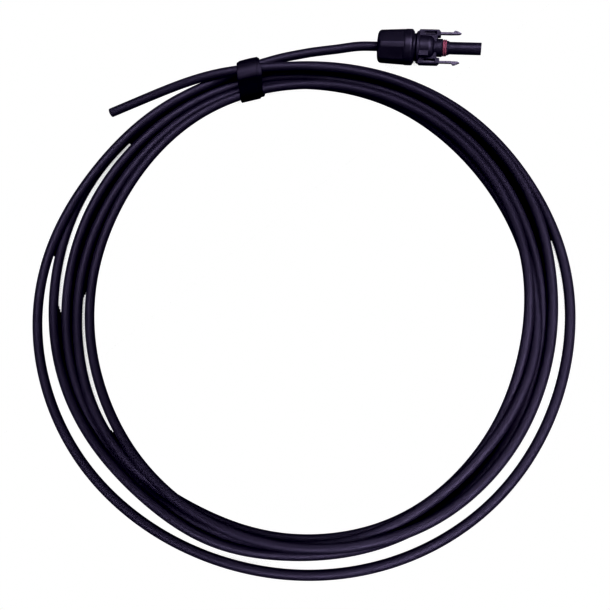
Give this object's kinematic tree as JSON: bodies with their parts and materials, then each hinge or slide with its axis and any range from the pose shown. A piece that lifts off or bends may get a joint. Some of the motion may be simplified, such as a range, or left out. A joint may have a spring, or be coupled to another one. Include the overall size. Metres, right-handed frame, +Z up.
{
  "type": "solar cable connector",
  "caption": "Black plug-nose solar connector with latch fingers, seal ring and gland nut, fitted to a strapped coil of single-core cable.",
  "frame": {"origin": "centre of the plug nose's front face, on the plug axis", "axes": "+X along the plug axis towards the mating half, +Y across the plug, +Z up from the surface the lead lies on"},
  "size_m": [0.2829, 0.2954, 0.0192],
  "materials": {
    "housing_plastic": "moulded black plastic, semi-matt",
    "collet_plastic": "dark grey moulded plastic",
    "seal_rubber": "dull red silicone rubber",
    "grommet_rubber": "soft black rubber",
    "tinned_copper": "tinned copper, dull bright",
    "contact_spring": "plated copper alloy spring strip",
    "clip_steel": "spring steel",
    "jacket": "black cross-linked sheath, satin",
    "insulation": "dark inner insulation",
    "strap": "black wrap strap"
  },
  "bodies": {
    "plug_and_lead": {"connector_housing": "housing_plastic", "nose_seal_ring": "seal_rubber", "socket_contact": "tinned_copper", "contact_spring_band": "contact_spring", "contact_retaining_clip": "clip_steel", "cable_seal_grommet": "grommet_rubber", "cable_jacket": "jacket", "cable_insulation": "insulation", "cable_conductor": "tinned_copper", "bundle_strap": "strap"},
    "collet": {"clamp_collet": "collet_plastic"},
    "nut": {"gland_nut": "housing_plastic"},
    "finger_left": {"latch_finger_left": "housing_plastic"},
    "finger_right": {"latch_finger_right": "housing_plastic"}
  },
  "joints": [
    {"name": "collet_travel", "type": "slide", "parent": "plug_and_lead", "child": "collet", "axis": [1, 0, 0], "range_m": [-0.0076, 0]},
    {"name": "nut_turn", "type": "hinge", "parent": "collet", "child": "nut", "pos_m": [-0.0466, 0, 0], "axis": [1, 0, 0], "range_deg": [-1800, 0]},
    {"name": "finger_left_flex", "type": "hinge", "parent": "plug_and_lead", "child": "finger_left", "pos_m": [-0.0312, 0.00685, 0.00305], "axis": [0, -0.4067, 0.9135], "range_deg": [-4.5, 0]},
    {"name": "finger_right_flex", "type": "hinge", "parent": "plug_and_lead", "child": "finger_right", "pos_m": [-0.0312, -0.00685, -0.00305], "axis": [0, -0.4067, 0.9135], "range_deg": [0, 4.5]}
  ],
  "couplings": [
    {"joint": "collet_travel", "follows": "nut_turn", "m_per_rad": 0.00023873}
  ]
}
